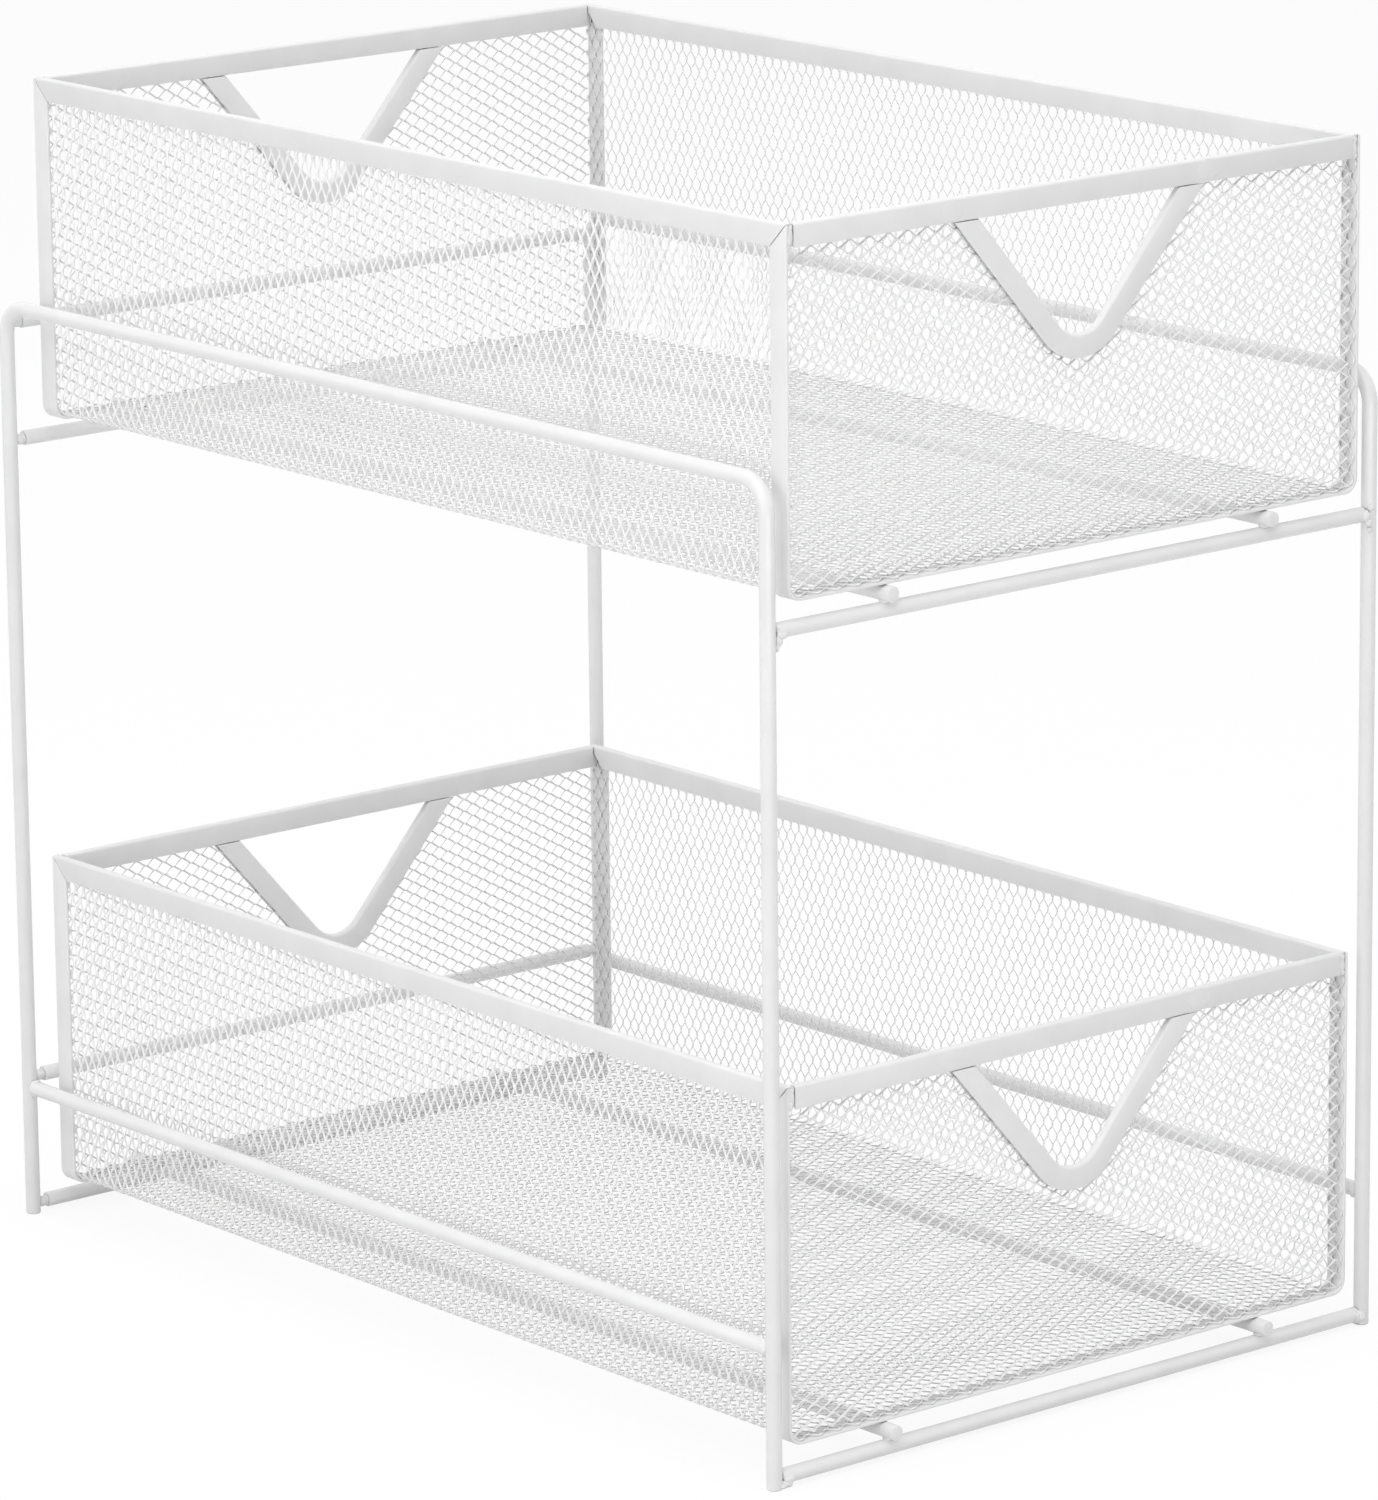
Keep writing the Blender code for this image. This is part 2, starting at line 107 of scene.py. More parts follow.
# Skin of the welds
WELD_FINENESS = 3                # subdivisions of a lump
CROSSING_WELD_FINENESS = 2
WELD_SWELL = 0.18                # unevenness, as a share of a lump's radius
WELD_WAVES = 1.6                 # waves of the unevenness over a radius
RIPPLE_SHARE = 0.5
RIPPLE_WAVES = 4.0
SEED_STRIDE = (3.7, 1.9, 5.3)    # how far one more seed moves the noise
LUMP_SEED_STEP = 0.37
STAND_WELD_SEED = 1
BASKET_WELD_SEED = 60
WELD_CREASE = math.radians(80)

# Flat strip, folded over the net's edge for rims and handles
STRIP_THICKNESS = 0.0009
STRIP_WIDTH = 0.0075
STRIP_EDGE_ANGLE = math.radians(30)    # edges sharper than this are softened
STRIP_EDGE_BEVEL = 0.00022
STRIP_EDGE_SEGMENTS = 2
STRIP_EDGE_ROUNDNESS = 0.5
STRIP_CREASE = math.radians(50)
FOLD_RADIUS = 0.0010
FOLD_INNER_RADIUS = 0.0002
FOLD_STEPS = 8
RIM_CLEARANCE = 0.000001         # keeps a rim's top within the CAD box
SAME_PLACE = 0.000001            # corners of a CAD mesh nearer than this become one
SAME_PLANE = math.radians(0.5)   # faces of a CAD mesh that turn less than this become one

# Walls of a basket, as distances inward from its outer face
NET_MIDDLE = 0.00155
NET_OUTER = 0.0010
NET_INNER = 0.0021
HOOP_BEND_RADIUS = 0.0050
END_NET_GAP = 0.0003             # between the end net's edge and the inner face of the other nets
RIM_GAP_HEIGHT = 0.0078          # from the basket's top down to where the end net widens
END_TOP_INSET = 0.0034           # end net inward from the outer face, behind the rim

# Handles
HANDLE_HALF_TOP = 0.0467         # centre line of the V, under the rim
HANDLE_TOP_DROP = 0.0075
HANDLE_BEND_RADIUS = 0.01575
HANDLE_BEND_STEPS = 20
HANDLE_ARM_ANGLE = math.radians(41.5)
NOTCH_MARGIN = 0.01              # how far past the V's half width the net is still cut along it

# Down from the V's top to where its arms would meet, and to the centre of the bend that joins them
HANDLE_DEPTH = HANDLE_HALF_TOP / math.tan(HANDLE_ARM_ANGLE)
HANDLE_BEND_DROP = HANDLE_DEPTH - HANDLE_BEND_RADIUS / math.sin(HANDLE_ARM_ANGLE)

# Expanded metal: half diamonds, the bond where strands meet, and how far its slit edges stand out
LONG_STEP = 0.003885
SHORT_STEP = 0.002175
SHEET_THICKNESS = 0.00026
BOND_TIP = 0.00074
BOND_FLAT = 0.00042
BOND_HALF_WIDTH = 0.00025
BOND_LIFT = 0.00046
BOND_WANDER = 0.00004            # spread of the bonds round their even places, cut off at twice this
BOND_REACH = BOND_HALF_WIDTH + SHEET_THICKNESS / 2
BEND_COLUMNS = (0, 1)            # columns of a side net whose strands go round the bend
NET_SEEDS = {"floor": 11, "left": 11, "right": 13, "end": 21}

# Powder coat
MOTTLE_GRAIN = (70, 5)           # noise scale and detail
MOTTLE_LEVELS = (0.30, 0.72)     # noise of the darkest and the lightest spots
MOTTLE_SHARES = (0.965, 1.012)   # and their share of the coat's grey
SHEEN_GRAIN = (260, 3)
SHEEN_SPREAD = (-0.05, 0.06)     # added to the roughness
PEEL_GRAIN = (1900, 2)
PEEL_DEPTH = 0.00006
# Painted shade in seams: the coat's colour darkens where another surface is near
SEAM_REACH = 0.0016              # how near another surface must be for the painted seam shade
SEAM_OPENING = (0.10, 0.50)      # how open a place is where the painted shade is darkest, and where it ends
SEAM_SHADE = 0.45
SEAM_SAMPLES = 8

# Linear grey, roughness, strength of the orange peel and gloss of each coat
WIRE_COAT = {"white": 0.85, "roughness": 0.22, "peel": 0.35, "gloss": 0.5}
STRIP_COAT = {"white": 0.85, "roughness": 0.48, "peel": 0.30, "gloss": 0.3}
# The net's grey is lighter than the wires' and strips' of the same paint: painted light for the light its
# tilted strands catch
NET_COAT_WITH_PAINTED_LIGHT = {"white": 0.97, "roughness": 0.42, "peel": 0.20, "gloss": 1.0}

# Studio
WHITE = 1.0                      # colour of the room, and of the floor where the camera sees it
WORLD_LIGHT = 0.77
DARK_END = (-0.60, -0.76, 0.24)  # towards the darker end of the room
DARK_END_LIGHT = 0.04
DARK_END_FROM, DARK_END_TO = 0.55, 0.95    # cosine of the angle to it where the dark begins and is full
FLOOR_HALF_SIDE = 9.0
FLOOR_GREY = 0.65                # what the floor sends back to the object
FLOOR_WHITE = 0.97               # what the camera sees of it
FLOOR_SHADE = 0.12               # share of that which is shaded, and so keeps the shadow
LIGHTS = {                       # place, width, height, power
    "top_light": ((-0.2, -0.2, 3.4), 1.6, 1.6, 30.0),
    "front_light": ((-1.6, -1.5, 2.6), 1.2, 1.2, 20.0),
    "left_light": ((-2.8, -0.5, 0.7), 1.8, 1.0, 16.5),
    "low_light": ((-0.5, -1.3, 0.10), 1.4, 0.18, 3.0),
}
LIGHT_AIM = (0.0, 0.0, 0.16)

# Camera, fitted to the photograph
CAMERA_PLACE = (-1.672846, -2.016711, 0.816994)
CAMERA_YAW = math.radians(39.775)
CAMERA_PITCH = math.radians(-13.711)
CAMERA_ROLL = math.radians(-0.603)
CAMERA_LENS = 196.551
SENSOR_HEIGHT = 36.0
CLIP_NEAR, CLIP_FAR = 0.05, 60


# Paint

def grain(tree, place, scale, detail):
    texture = tree.nodes.new("ShaderNodeTexNoise")
    texture.inputs["Scale"].default_value = scale
    texture.inputs["Detail"].default_value = detail
    tree.links.new(place, texture.inputs["Vector"])
    return texture.outputs["Fac"]


def painted_seam_shade(tree, colour):
    """Painted shade: darken a colour where another surface is near, as shade falls in seams."""
    opening = tree.nodes.new("ShaderNodeAmbientOcclusion")
    opening.inputs["Distance"].default_value = SEAM_REACH
    opening.samples = SEAM_SAMPLES
    cover = tree.nodes.new("ShaderNodeMapRange")
    cover.inputs["From Min"].default_value = SEAM_OPENING[0]
    cover.inputs["From Max"].default_value = SEAM_OPENING[1]
    cover.inputs["To Min"].default_value = SEAM_SHADE
    tree.links.new(opening.outputs["AO"], cover.inputs["Value"])
    seam_shaded = tree.nodes.new("ShaderNodeVectorMath")
    seam_shaded.operation = "SCALE"
    tree.links.new(colour, seam_shaded.inputs[0])
    tree.links.new(cover.outputs["Result"], seam_shaded.inputs["Scale"])
    return seam_shaded.outputs["Vector"]


def powder_coat(name, white, roughness, peel, gloss, paint_seam_shade=True):
    """White satin powder coat: faint mottling, uneven sheen, fine orange peel, and painted shade in seams."""
    material = bpy.data.materials.new(name)
    material.use_nodes = True
    tree = material.node_tree
    coat = tree.nodes["Principled BSDF"]
    coat.inputs["Specular IOR Level"].default_value = gloss
    place = tree.nodes.new("ShaderNodeTexCoord").outputs["Object"]

    tint = tree.nodes.new("ShaderNodeValToRGB")
    for stop, level, share in zip(tint.color_ramp.elements, MOTTLE_LEVELS, MOTTLE_SHARES):
        stop.position = level
        stop.color = (white * share, white * share, white * share, 1)
    tree.links.new(grain(tree, place, *MOTTLE_GRAIN), tint.inputs["Fac"])
    colour = tint.outputs["Color"]
    # painted shade: the coat's colour darkens where other surfaces are near
    if paint_seam_shade:
        colour = painted_seam_shade(tree, colour)
    tree.links.new(colour, coat.inputs["Base Color"])

    sheen = tree.nodes.new("ShaderNodeMapRange")
    sheen.inputs["To Min"].default_value = roughness + SHEEN_SPREAD[0]
    sheen.inputs["To Max"].default_value = roughness + SHEEN_SPREAD[1]
    tree.links.new(grain(tree, place, *SHEEN_GRAIN), sheen.inputs["Value"])
    tree.links.new(sheen.outputs["Result"], coat.inputs["Roughness"])

    bump = tree.nodes.new("ShaderNodeBump")
    bump.inputs["Strength"].default_value = peel
    bump.inputs["Distance"].default_value = PEEL_DEPTH
    tree.links.new(grain(tree, place, *PEEL_GRAIN), bump.inputs["Height"])
    tree.links.new(bump.outputs["Normal"], coat.inputs["Normal"])
    return material


WIRE_PAINT = powder_coat("wire_powder_coat", **WIRE_COAT)
STRIP_PAINT = powder_coat("strip_powder_coat", **STRIP_COAT)
NET_PAINT_WITH_PAINTED_LIGHT = powder_coat("net_powder_coat_with_painted_light", **NET_COAT_WITH_PAINTED_LIGHT, paint_seam_shade=False)


# Pieces

def add_piece(name, mesh, paint, body, nodes=(), location=(0, 0, 0), turned=False):
    """Place a mesh as a piece of the object; turned faces it the other way about Z."""
    piece = bpy.data.objects.new(name, mesh)
    bpy.context.scene.collection.objects.link(piece)
    if not mesh.materials:
        mesh.materials.append(paint)
    piece.location = location
    piece.rotation_euler.z = math.pi if turned else 0
    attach(piece, body)
    if nodes:
        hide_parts(*nodes)
    return piece


def basket_size():
    """Half width, half depth and height of a basket."""
    low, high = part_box("upper_basket_front_hoop")
    half_depth = (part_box("upper_basket_back_hoop")[1].y - low.y) / 2
    return (high.x - low.x) / 2, half_depth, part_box("upper_basket_left_rim")[1].z - low.z


def basket_place(basket):
    """Middle of a basket's bottom."""
    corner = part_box(basket + "_front_hoop")[0]
    return (0, corner.y + basket_size()[1], corner.z)


def bmesh_to_mesh(name, bm, crease):
    """Finish a mesh: faces outwards, smooth but for edges that turn by more than crease."""
    bmesh.ops.recalc_face_normals(bm, faces=bm.faces[:])
    mesh = bpy.data.meshes.new(name)
    bm.to_mesh(mesh)
    bm.free()
    mesh.shade_smooth()
    mesh.set_sharp_from_angle(angle=crease)
    return mesh


# Round wires

def rounded_end(point, tangent, inward, radius):
    """Rings that round off a wire's end, from the full one to the smallest."""
    rings = []
    for k in range(WIRE_END_STEPS + 1):
        angle = math.pi / 2 * k / WIRE_END_STEPS
        back = WIRE_END_BEVEL * (1 - math.sin(angle))
        shrink = WIRE_END_BEVEL * (1 - math.cos(angle))
        rings.append((point + tangent * inward * back, tangent, 1, radius - shrink))
    return rings


def wire_rings(path, radius):
    """Centre, direction, stretch at a mitre and radius of each ring along a wire."""
    rings = []
    last = len(path) - 1
    for k, point in enumerate(path):
        arriving = (point - path[max(k - 1, 0)]).normalized()
        leaving = (path[min(k + 1, last)] - point).normalized()
        tangent = (arriving + leaving).normalized()
        mitre = 1 / tangent.dot(arriving if k else leaving)
        rings.append((point, tangent, mitre, radius))
    start = rounded_end(*rings[0][:2], 1, radius)
    end = rounded_end(*rings[-1][:2], -1, radius)
    return start[::-1] + rings[1:-1] + end


def wire_mesh(name, path, across, radius):
    """Sweep a round wire along a flat path, its two ends slightly rounded off."""
    bm = bmesh.new()
    loops = []
    for point, tangent, mitre, size in wire_rings(path, radius):
        inward = across.cross(tangent) * mitre
        loop = []
        for side in range(WIRE_SIDES):
            angle = 2 * math.pi * side / WIRE_SIDES
            loop.append(bm.verts.new(point + (across * math.cos(angle) + inward * math.sin(angle)) * size))
        loops.append(loop)
    for near, far in zip(loops, loops[1:]):
        for k in range(WIRE_SIDES):
            following = (k + 1) % WIRE_SIDES
            bm.faces.new((near[k], near[following], far[following], far[k]))
    bm.faces.new(loops[0])
    bm.faces.new(reversed(loops[-1]))
    return bmesh_to_mesh(name, bm, WIRE_CREASE)


def add_wire(node, path, across, radius):
    name = node + "_round"
    add_piece(name, wire_mesh(name, path, across, radius), WIRE_PAINT, "stand", [node])


def straight_wire(node, trim=0):
    """A wire in the place of a straight CAD wire, along X or Y, its ends cut back by trim."""
    low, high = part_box(node)
    centre = (low + high) / 2
    size = high - low
    reach = Vector((size.x / 2 - trim, 0, 0)) if size.x > size.y else Vector((0, size.y / 2 - trim, 0))
    add_wire(node, [centre - reach, centre + reach], Vector((0, 0, 1)), size.z / 2)


def side_frame(node):
    """Legs and top bar of one side in one bent wire."""
    low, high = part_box(node)
    radius = (high.x - low.x) / 2
    x = (low.x + high.x) / 2
    leg_y = high.y - radius
    bend_y = leg_y - LEG_BEND_RADIUS
    bend_z = high.z - radius - LEG_BEND_RADIUS
    path = [Vector((x, -leg_y, low.z))]
    for centre_y, start in ((-bend_y, math.pi), (bend_y, math.pi / 2)):
        for k in range(LEG_BEND_STEPS + 1):
            angle = start - math.pi / 2 * k / LEG_BEND_STEPS
            y = centre_y + LEG_BEND_RADIUS * math.cos(angle)
            path.append(Vector((x, y, bend_z + LEG_BEND_RADIUS * math.sin(angle))))
    path.append(Vector((x, leg_y, low.z)))
    add_wire(node, path, Vector((1, 0, 0)), radius)


def build_wires():
    for side in SIDE_SIGNS:
        side_frame(side + "_side_frame")
        straight_wire("lower_" + side + "_guide")
    for tier in TIERS:
        for part in ("front_crossbar", "back_crossbar", "stop_bar", "left_runner", "right_runner"):
            node = tier + "_" + part
            straight_wire(node, NECK_LENGTH if node in NECKED_BARS else 0)


# Welds

def weld_lump(bm, centre, radii, seed, fineness=WELD_FINENESS, room=(CAD_LOW, CAD_HIGH)):
    """A lump of weld under paint: an ellipsoid with a soft uneven skin, kept inside its room."""
    made = bmesh.ops.create_icosphere(bm, subdivisions=fineness, radius=1.0)
    offset = Vector([seed * stride for stride in SEED_STRIDE])
    for vert in made["verts"]:
        wave = noise.noise(vert.co * WELD_WAVES + offset)
        ripple = noise.noise(vert.co * RIPPLE_WAVES + offset)
        swell = 1 + WELD_SWELL * wave + WELD_SWELL * RIPPLE_SHARE * ripple
        for k in range(3):
            spot = centre[k] + vert.co[k] * radii[k] * swell
            vert.co[k] = min(max(spot, room[0][k]), room[1][k])


def bar_end_weld(bm, joint, inward, lumps, seed):
    """One weld of several lumps, at the end of a bar."""
    for k, ((along, forward, up), radii) in enumerate(lumps):
        x = joint.x + inward * along * MILLIMETRE
        centre = (x, joint.y - forward * MILLIMETRE, joint.z + up * MILLIMETRE)
        weld_lump(bm, centre, [r * MILLIMETRE for r in radii], seed + k * LUMP_SEED_STEP)


def guide_end_weld(bm, joint, inward, seed):
    """Smooth swelling where a guide meets a leg."""
    collar = Vector(joint) + Vector((0, inward * GUIDE_WELD_SHIFT, 0))
    weld_lump(bm, collar, GUIDE_WELD_RADII, seed)


def crossing_weld(bm, runner, bar, seed):
    """Flat nugget between a runner and the crossbar under it."""
    low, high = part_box(runner)
    bar_low, bar_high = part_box(bar)
    place = ((low.x + high.x) / 2, (bar_low.y + bar_high.y) / 2, (low.z + bar_high.z) / 2)
    weld_lump(bm, place, CROSSING_WELD_RADII, seed, CROSSING_WELD_FINENESS)


def build_stand_welds():
    bm = bmesh.new()
    seed = STAND_WELD_SEED
    for tier in TIERS:
        for part in ("front_crossbar", "back_crossbar", "stop_bar"):
            low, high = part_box(tier + "_" + part)
            centre = (low + high) / 2
            for x, inward, lumps in zip((low.x, high.x), (1, -1), BEADS[tier + "_" + part]):
                bar_end_weld(bm, Vector((x, centre.y, centre.z)), inward, lumps, seed)
                seed += 2
        for side in SIDE_SIGNS:
            for bar in ("front_crossbar", "back_crossbar"):
                crossing_weld(bm, tier + "_" + side + "_runner", tier + "_" + bar, seed)
                seed += 1
    for side in SIDE_SIGNS:
        low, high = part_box("lower_" + side + "_guide")
        centre = (low + high) / 2
        for y, inward in ((low.y, 1), (high.y, -1)):
            guide_end_weld(bm, (centre.x, y, centre.z), inward, seed)
            seed += 1
    add_piece("stand_welds", bmesh_to_mesh("stand_welds", bm, WELD_CREASE), WIRE_PAINT, "stand")


def build_basket_welds():
    """Filled corners between the rims and the hoops, and flat marks on the rims over the handles."""
    half_width, half_depth, height = basket_size()
    mark = RIM_MARK[1][1]
    lowest = (-half_width, -half_depth - mark, 0)
    highest = (half_width, half_depth + mark, height - CORNER_BEAD_GAP)
    bm = bmesh.new()
    seed = BASKET_WELD_SEED
    for side in (-1, 1):
        for end in (-1, 1):
            for (inward, back, drop), radii in CORNER_BEAD + (RIM_MARK,):
                centre = (side * (half_width - inward), end * (half_depth - back), height - drop)
                weld_lump(bm, centre, radii, seed, room=(lowest, highest))
                seed += 1
    mesh = bmesh_to_mesh("basket_welds", bm, WELD_CREASE)
    for basket in BASKETS:
        add_piece(basket + "_welds", mesh, STRIP_PAINT, basket, location=basket_place(basket))


# Strips

def fold_profile(half, height):
    """Section of a strip folded over the net's edge, as (across, drop from the fold) points."""
    leg = half - STRIP_THICKNESS
    outer, inner = [], []
    for side in (-1, 1):
        centre = side * (half - FOLD_RADIUS)
        for k in range(FOLD_STEPS + 1):
            angle = math.pi / 2 * (k if side > 0 else FOLD_STEPS - k) / FOLD_STEPS
            outer.append((centre + side * FOLD_RADIUS * math.sin(angle), FOLD_RADIUS * (1 - math.cos(angle))))
            within = side * (leg - FOLD_INNER_RADIUS * (1 - math.sin(angle)))
            inner.append((within, STRIP_THICKNESS + FOLD_INNER_RADIUS * (1 - math.cos(angle))))
    return [(-half, height)] + outer + [(half, height), (leg, height)] + inner[::-1] + [(-leg, height)]


def skin(bm, sections):
    """Close a form through its sections, with a face over each end."""
    for near, far in zip(sections, sections[1:]):
        for k in range(len(near)):
            bm.faces.new((near[k - 1], near[k], far[k], far[k - 1]))
    bm.faces.new(sections[0])
    bm.faces.new(sections[-1][::-1])
    bmesh.ops.recalc_face_normals(bm, faces=bm.faces[:])


def rim_form(bm, node):
    """A rim in its CAD place; both ends of a side rim slant inwards on the way down."""
    low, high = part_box(node)
    middle = (low + high) / 2
    reach_x, reach_y, height = (high.x - low.x) / 2, (high.y - low.y) / 2, high.z - low.z
    along_y = reach_y > reach_x
    sections = []
    for end in (-1, 1):
        section = []
        for across, drop in fold_profile(min(reach_x, reach_y), height):
            x, y = (across, end * (reach_y - drop)) if along_y else (end * reach_x, across)
            section.append(bm.verts.new((middle.x + x, middle.y + y, high.z - drop - RIM_CLEARANCE)))
        sections.append(section)
    skin(bm, sections)


def handle_form(bm, node):
    """A V strip folded over the net's cut edge, its outer face and level ends where the CAD has them."""
    low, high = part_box(node)
    faces_front = low.y < 0
    rim_low, rim_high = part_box(node.replace("_handle", "_rim"))
    half = (rim_high.y - rim_low.y) / 2
    bend_sweep = math.pi - 2 * HANDLE_ARM_ANGLE
    sections = []
    for k in range(-1, HANDLE_BEND_STEPS + 2):
        section = []
        for across, drop in fold_profile(half, STRIP_WIDTH):
            inset = STRIP_WIDTH / 2 - drop
            if 0 <= k <= HANDLE_BEND_STEPS:
                angle = HANDLE_ARM_ANGLE - math.pi + bend_sweep * k / HANDLE_BEND_STEPS
                x = (HANDLE_BEND_RADIUS - inset) * math.cos(angle)
                z = rim_low.z - HANDLE_BEND_DROP + (HANDLE_BEND_RADIUS - inset) * math.sin(angle)
            else:
                z = high.z
                x = HANDLE_HALF_TOP + (z - rim_low.z) * math.tan(HANDLE_ARM_ANGLE)
                x -= inset / math.cos(HANDLE_ARM_ANGLE)
                x *= -1 if k < 0 else 1
            depth = across + half
            section.append(bm.verts.new((x, low.y + depth if faces_front else high.y - depth, z)))
        sections.append(section)
    skin(bm, sections)


def hoop_form(bm, node):
    """A hoop from its CAD mesh, its flat faces each in one piece."""
    bm.from_mesh(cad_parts[node].data)
    bmesh.ops.remove_doubles(bm, verts=bm.verts[:], dist=SAME_PLACE)
    bmesh.ops.dissolve_limit(bm, angle_limit=SAME_PLANE, verts=bm.verts[:], edges=bm.edges[:])


def is_sharp(edge):
    return len(edge.link_faces) == 2 and edge.is_convex and edge.calc_face_angle(0) > STRIP_EDGE_ANGLE


def add_strip(form, node, body):
    """A coated strip with its sharp edges softened."""
    bm = bmesh.new()
    form(bm, node)
    sharp = [edge for edge in bm.edges if is_sharp(edge)]
    bmesh.ops.bevel(bm, geom=sharp, offset=STRIP_EDGE_BEVEL, segments=STRIP_EDGE_SEGMENTS,
                    profile=STRIP_EDGE_ROUNDNESS, affect="EDGES", clamp_overlap=True)
    name = node + "_strip"
    add_piece(name, bmesh_to_mesh(name, bm, STRIP_CREASE), STRIP_PAINT, body, [node])


def build_strips():
    for basket in BASKETS:
        for form, parts in ((hoop_form, ("front_hoop", "back_hoop")),
                            (rim_form, ("left_rim", "right_rim", "front_rim", "back_rim")),
                            (handle_form, ("front_handle", "back_handle"))):
            for part in parts:
                add_strip(form, basket + "_" + part, basket)


# Expanded metal

BOND_CORNERS = np.array([           # along the sheet, across it and into it
    (BOND_TIP, 0, 0), (BOND_FLAT, BOND_HALF_WIDTH, BOND_LIFT), (-BOND_FLAT, BOND_HALF_WIDTH, BOND_LIFT),
    (-BOND_TIP, 0, 0), (-BOND_FLAT, -BOND_HALF_WIDTH, -BOND_LIFT), (BOND_FLAT, -BOND_HALF_WIDTH, -BOND_LIFT),
])
CORNER_COUNT = len(BOND_CORNERS)
RISING_ENDS = ((0, 1), (4, 3))      # bond corners at a strand's start and end, lower side first
FALLING_ENDS = ((5, 0), (3, 2))


def bond_grid(origin, steps, pitch, parity, seed):
    """Each bond's column, the numbers of the bonds by column and row (or -1), and their centres."""
    columns, rows = steps
    i, j = np.meshgrid(np.arange(columns + 1), np.arange(rows + 1), indexing="ij")
    on = (i + j + parity) % 2 == 0
    index = np.full(i.shape, -1)
    index[on] = np.arange(on.sum())
    centres = np.stack([origin[0] + i[on] * pitch[0], origin[1] + j[on] * pitch[1]], axis=1)
    wander = np.random.default_rng(seed).normal(0, BOND_WANDER, centres.shape)
    edge = (i[on] == 0) | (i[on] == columns) | (j[on] == 0) | (j[on] == rows)
    wander[edge] = 0
    centres = centres + np.clip(wander, -2 * BOND_WANDER, 2 * BOND_WANDER)
    return i[on], index, np.column_stack([centres, np.full(len(centres), NET_MIDDLE)])


def joined_bonds(index, centres, rise, keep):
    """Start and end bonds of the strands that rise by one row or fall by one, and their columns."""
    column, row = np.nonzero(index[:-1] >= 0)
    fits = (row + rise >= 0) & (row + rise < index.shape[1])
    column, row = column[fits], row[fits]
    start, end = index[column, row], index[column + 1, row + rise]
    if keep is None:
        return start, end, column
    middle = (centres[start] + centres[end]) / 2
    kept = keep(middle[:, 0], middle[:, 1])
    return start[kept], end[kept], column[kept]


def cut_in_middle(flat, strands):
    """Cut strands in two: all corners with the new ones, and the two halves."""
    start_low, end_low, end_high, start_high = strands.T
    low_corners = (flat[start_low] + flat[end_low]) / 2
    high_corners = (flat[start_high] + flat[end_high]) / 2
    low_middle = len(flat) + np.arange(len(strands))
    high_middle = low_middle + len(strands)
    near = np.stack([start_low, low_middle, high_middle, start_high], axis=1)
    far = np.stack([low_middle, end_low, end_high, high_middle], axis=1)
    return np.concatenate([flat, low_corners, high_corners]), [near, far]


def corner_normals(flat, faces):
    """Unit normal at each corner, from the faces round it."""
    across = np.cross(flat[faces[:, 2]] - flat[faces[:, 0]], flat[faces[:, 3]] - flat[faces[:, 1]])
    across /= np.linalg.norm(across, axis=1)[:, None]
    normals = np.zeros_like(flat)
    for k in range(4):
        np.add.at(normals, faces[:, k], across)
    return normals / np.linalg.norm(normals, axis=1)[:, None]


def sheet_mesh(name, flat, quads, place):
    """Give a sheet its thickness and its walls along the cuts, and bend it with place(u, v, depth)."""
    needed, front = np.unique(quads, return_inverse=True)
    flat, front = flat[needed], front.reshape(-1, 4)
    count = len(flat)
    edges = np.concatenate([front[:, [k, (k + 1) % 4]] for k in range(4)])
    _, where, uses = np.unique(np.sort(edges, axis=1), axis=0, return_index=True, return_counts=True)
    cut = edges[where[uses == 1]]
    walls = np.stack([cut[:, 1], cut[:, 0], cut[:, 0] + count, cut[:, 1] + count], axis=1)
    faces = np.concatenate([front, front[:, ::-1] + count, walls])
    half = corner_normals(flat, front) * SHEET_THICKNESS / 2
    points = np.concatenate([place(*(flat + side * half).T) for side in (-1, 1)])

    p, q, r, s = (points[faces[:, k]] for k in range(4))
    volume = np.einsum("ij,ij->", p, np.cross(q, r)) + np.einsum("ij,ij->", p, np.cross(r, s))
    if volume < 0:
        faces = faces[:, ::-1]

    mesh = bpy.data.meshes.new(name)
    mesh.from_pydata(points.tolist(), [], faces.tolist())
    mesh.shade_smooth()
    return mesh


def net_mesh(name, origin, steps, pitch, place, tilt, seed, parity=0, borrowed=(), cut_columns=(), keep=None):
    """Expanded metal on a grid of bonds, its strands tilted as slitting and stretching leaves them.

    A bond stands where column + row + parity is even, and strands run to its diagonal neighbours.
    Columns in borrowed belong to the next sheet, so only strands reach them. Strands that start in
    cut_columns are cut in the middle so that they can bend. keep(u, v) says which strands stay.
    place(u, v, depth) bends the sheet to its form, and tilt is 1 or -1.
    """
    bond_columns, index, centres = bond_grid(origin, steps, pitch, parity, seed)
    flat = (centres[:, None, :] + BOND_CORNERS[None, :, :] * (1, 1, tilt)).reshape(-1, 3)
    quads = []
    used = np.zeros(len(centres), bool)
    for rise, ((start_low, start_high), (end_low, end_high)) in ((1, RISING_ENDS), (-1, FALLING_ENDS)):
        start, end, column = joined_bonds(index, centres, rise, keep)
        used[start] = True
        used[end] = True
        start, end = start * CORNER_COUNT, end * CORNER_COUNT
        strands = np.stack([start + start_low, end + end_low, end + end_high, start + start_high], axis=1)
        bent = np.isin(column, cut_columns)
        quads.append(strands[~bent])
        flat, halves = cut_in_middle(flat, strands[bent])
        quads += halves

    owned = used & ~np.isin(bond_columns, borrowed)
    first = np.nonzero(owned)[0] * CORNER_COUNT
    quads.append(np.stack([first, first + 1, first + 2, first + 3], axis=1))
    quads.append(np.stack([first + 3, first + 4, first + 5, first], axis=1))
    return sheet_mesh(name, flat, np.concatenate(quads), place)


